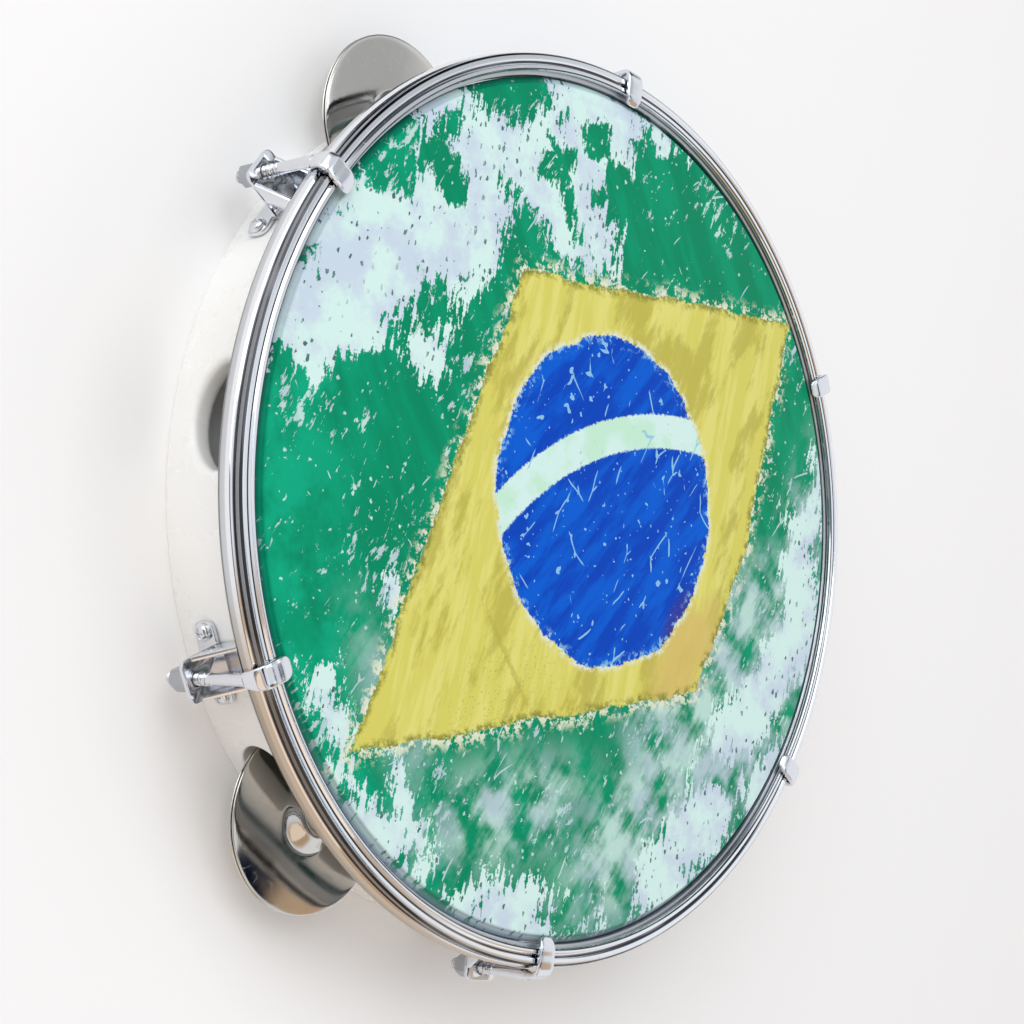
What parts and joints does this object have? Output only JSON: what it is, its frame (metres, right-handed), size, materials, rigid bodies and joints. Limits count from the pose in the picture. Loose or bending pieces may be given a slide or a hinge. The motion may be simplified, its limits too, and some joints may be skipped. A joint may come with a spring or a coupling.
{
  "type": "pandeiro",
  "caption": "Hand-held frame drum: a lacquered wooden ring with pairs of cupped jingles on pins, a thumb hole, and a printed film head under a chromed counterhoop with nutted hooks.",
  "frame": {"origin": "on the drum's axis, in the plane of the shell's back edge, on which the drum lies", "axes": "+Z along the drum's axis towards the head; +X through one tension hook, and the thumb hole is 210 degrees round from it"},
  "size_m": [0.3286, 0.3448, 0.05],
  "materials": {
    "lacquered_shell": "semi-gloss white lacquer over bent wood",
    "printed_film": "glossy film with a worn print",
    "flesh_alloy": "plain drawn alloy",
    "hoop_chrome": "polished chrome",
    "hardware_chrome": "chromed stamping",
    "screw_chrome": "chromed",
    "nut_steel": "plated steel",
    "jingle_nickel": "nickel-plated, polished",
    "damper_steel": "plain plated",
    "pin_steel": "plain wire nail"
  },
  "bodies": {
    "drum": {"shell": "lacquered_shell", "drumhead": "printed_film", "flesh_hoop": "flesh_alloy", "counterhoop": "hoop_chrome", "tension_hook_1": "hardware_chrome", "lug_1": "hardware_chrome", "lug_screw_1a": "screw_chrome", "lug_screw_1b": "screw_chrome", "tension_hook_2": "hardware_chrome", "lug_2": "hardware_chrome", "lug_screw_2a": "screw_chrome", "lug_screw_2b": "screw_chrome", "tension_hook_3": "hardware_chrome", "lug_3": "hardware_chrome", "lug_screw_3a": "screw_chrome", "lug_screw_3b": "screw_chrome", "tension_hook_4": "hardware_chrome", "lug_4": "hardware_chrome", "lug_screw_4a": "screw_chrome", "lug_screw_4b": "screw_chrome", "tension_hook_5": "hardware_chrome", "lug_5": "hardware_chrome", "lug_screw_5a": "screw_chrome", "lug_screw_5b": "screw_chrome", "tension_hook_6": "hardware_chrome", "lug_6": "hardware_chrome", "lug_screw_6a": "screw_chrome", "lug_screw_6b": "screw_chrome", "jingle_pin_1": "pin_steel", "jingle_pin_2": "pin_steel", "jingle_pin_3": "pin_steel", "jingle_pin_4": "pin_steel", "jingle_pin_5": "pin_steel"},
    "nut_1": {"tension_nut_1": "nut_steel"},
    "nut_2": {"tension_nut_2": "nut_steel"},
    "nut_3": {"tension_nut_3": "nut_steel"},
    "nut_4": {"tension_nut_4": "nut_steel"},
    "nut_5": {"tension_nut_5": "nut_steel"},
    "nut_6": {"tension_nut_6": "nut_steel"},
    "back_1": {"jingle_back_1": "jingle_nickel"},
    "damper_1": {"damper_disc_1": "damper_steel"},
    "front_1": {"jingle_front_1": "jingle_nickel"},
    "back_2": {"jingle_back_2": "jingle_nickel"},
    "damper_2": {"damper_disc_2": "damper_steel"},
    "front_2": {"jingle_front_2": "jingle_nickel"},
    "back_3": {"jingle_back_3": "jingle_nickel"},
    "damper_3": {"damper_disc_3": "damper_steel"},
    "front_3": {"jingle_front_3": "jingle_nickel"},
    "back_4": {"jingle_back_4": "jingle_nickel"},
    "damper_4": {"damper_disc_4": "damper_steel"},
    "front_4": {"jingle_front_4": "jingle_nickel"},
    "back_5": {"jingle_back_5": "jingle_nickel"},
    "damper_5": {"damper_disc_5": "damper_steel"},
    "front_5": {"jingle_front_5": "jingle_nickel"}
  },
  "joints": [
    {"name": "nut_turn_1", "type": "hinge", "parent": "drum", "child": "nut_1", "pos_m": [0.1597, 0, 0.015], "axis": [0, 0, 1], "continuous": true},
    {"name": "nut_turn_2", "type": "hinge", "parent": "drum", "child": "nut_2", "pos_m": [0.07985, 0.1383, 0.015], "axis": [0, 0, 1], "continuous": true},
    {"name": "nut_turn_3", "type": "hinge", "parent": "drum", "child": "nut_3", "pos_m": [-0.07985, 0.1383, 0.015], "axis": [0, 0, 1], "continuous": true},
    {"name": "nut_turn_4", "type": "hinge", "parent": "drum", "child": "nut_4", "pos_m": [-0.1597, 0, 0.015], "axis": [0, 0, 1], "continuous": true},
    {"name": "nut_turn_5", "type": "hinge", "parent": "drum", "child": "nut_5", "pos_m": [-0.07985, -0.1383, 0.015], "axis": [0, 0, 1], "continuous": true},
    {"name": "nut_turn_6", "type": "hinge", "parent": "drum", "child": "nut_6", "pos_m": [0.07985, -0.1383, 0.015], "axis": [0, 0, 1], "continuous": true},
    {"name": "back_slide_1", "type": "slide", "parent": "drum", "child": "back_1", "axis": [0, 0, 1], "range_m": [0, 0.0014]},
    {"name": "damper_slide_1", "type": "slide", "parent": "back_1", "child": "damper_1", "axis": [0, 0, 1], "range_m": [0, 0.0014]},
    {"name": "front_slide_1", "type": "slide", "parent": "damper_1", "child": "front_1", "axis": [0, 0, 1], "range_m": [0, 0.0014]},
    {"name": "back_slide_2", "type": "slide", "parent": "drum", "child": "back_2", "axis": [0, 0, 1], "range_m": [0, 0.0014]},
    {"name": "damper_slide_2", "type": "slide", "parent": "back_2", "child": "damper_2", "axis": [0, 0, 1], "range_m": [0, 0.0014]},
    {"name": "front_slide_2", "type": "slide", "parent": "damper_2", "child": "front_2", "axis": [0, 0, 1], "range_m": [0, 0.0014]},
    {"name": "back_slide_3", "type": "slide", "parent": "drum", "child": "back_3", "axis": [0, 0, 1], "range_m": [0, 0.0014]},
    {"name": "damper_slide_3", "type": "slide", "parent": "back_3", "child": "damper_3", "axis": [0, 0, 1], "range_m": [0, 0.0014]},
    {"name": "front_slide_3", "type": "slide", "parent": "damper_3", "child": "front_3", "axis": [0, 0, 1], "range_m": [0, 0.0014]},
    {"name": "back_slide_4", "type": "slide", "parent": "drum", "child": "back_4", "axis": [0, 0, 1], "range_m": [0, 0.0014]},
    {"name": "damper_slide_4", "type": "slide", "parent": "back_4", "child": "damper_4", "axis": [0, 0, 1], "range_m": [0, 0.0014]},
    {"name": "front_slide_4", "type": "slide", "parent": "damper_4", "child": "front_4", "axis": [0, 0, 1], "range_m": [0, 0.0014]},
    {"name": "back_slide_5", "type": "slide", "parent": "drum", "child": "back_5", "axis": [0, 0, 1], "range_m": [0, 0.0014]},
    {"name": "damper_slide_5", "type": "slide", "parent": "back_5", "child": "damper_5", "axis": [0, 0, 1], "range_m": [0, 0.0014]},
    {"name": "front_slide_5", "type": "slide", "parent": "damper_5", "child": "front_5", "axis": [0, 0, 1], "range_m": [0, 0.0014]}
  ]
}
